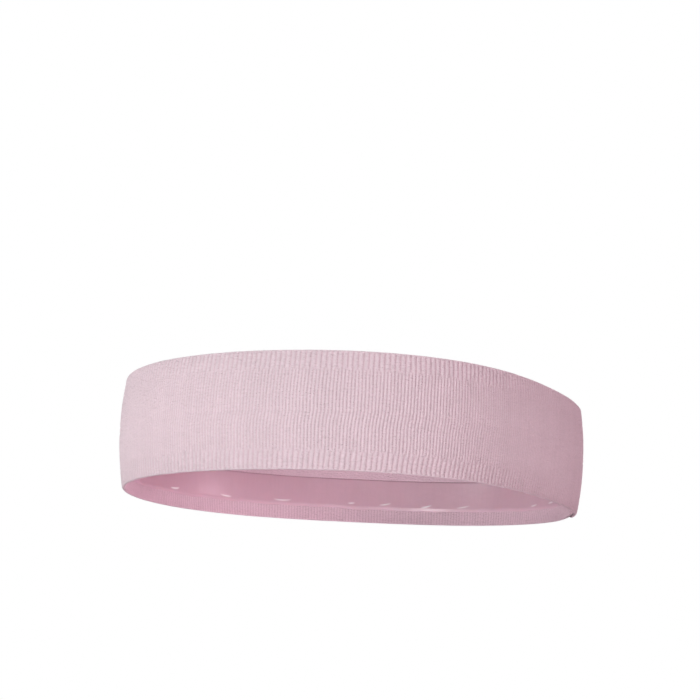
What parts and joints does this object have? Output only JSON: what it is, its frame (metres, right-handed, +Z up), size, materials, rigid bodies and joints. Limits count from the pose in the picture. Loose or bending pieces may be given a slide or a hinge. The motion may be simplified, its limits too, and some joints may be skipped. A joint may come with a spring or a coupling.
{
  "type": "elastic headband",
  "caption": "Wide elastic sports headband: a strip of ribbed woven elastic with silicone grip strips inside, lapped and sewn into a loop.",
  "frame": {"origin": "middle of the relaxed loop's length and width, on the plane that its lower edge rests on", "axes": "+Z up along the loop's axis; +X towards the sewn lap; +Y across the loop"},
  "size_m": [0.1687, 0.1566, 0.038],
  "materials": {
    "ribbed_yarn": "matt polyester yarn in fine ribs across the width",
    "backing_yarn": "matt polyester yarn in fine ribs",
    "edge_yarn": "smooth woven selvedge",
    "core_rubber": "natural rubber, matt",
    "grip_silicone": "clear glossy silicone over pink yarn",
    "sewing_thread": "pink polyester thread"
  },
  "bodies": {
    "strip": {"ribbed_face": "ribbed_yarn", "plain_backing": "backing_yarn", "selvedge_lower": "edge_yarn", "selvedge_upper": "edge_yarn", "grip_strip_lower": "grip_silicone", "grip_strip_upper": "grip_silicone", "rubber_core_01": "core_rubber", "rubber_core_02": "core_rubber", "rubber_core_03": "core_rubber", "rubber_core_04": "core_rubber", "rubber_core_05": "core_rubber", "rubber_core_06": "core_rubber", "rubber_core_07": "core_rubber", "rubber_core_08": "core_rubber", "rubber_core_09": "core_rubber", "rubber_core_10": "core_rubber", "rubber_core_11": "core_rubber", "rubber_core_12": "core_rubber"},
    "lap_seam": {"seam_needle_thread_a": "sewing_thread", "seam_needle_thread_b": "sewing_thread", "seam_bobbin_thread_a": "sewing_thread", "seam_bobbin_thread_b": "sewing_thread"}
  },
  "joints": [
    {"name": "stretch", "type": "slide", "parent": "strip", "child": "lap_seam", "axis": [1, 0, 0], "range_m": [0, 0.045], "stiffness_N_per_m": 120, "deforming": ["ribbed_face", "plain_backing", "selvedge_lower", "selvedge_upper", "grip_strip_lower", "grip_strip_upper", "rubber_core_01", "rubber_core_02", "rubber_core_03", "rubber_core_04", "rubber_core_05", "rubber_core_06", "rubber_core_07", "rubber_core_08", "rubber_core_09", "rubber_core_10", "rubber_core_11", "rubber_core_12"]}
  ]
}
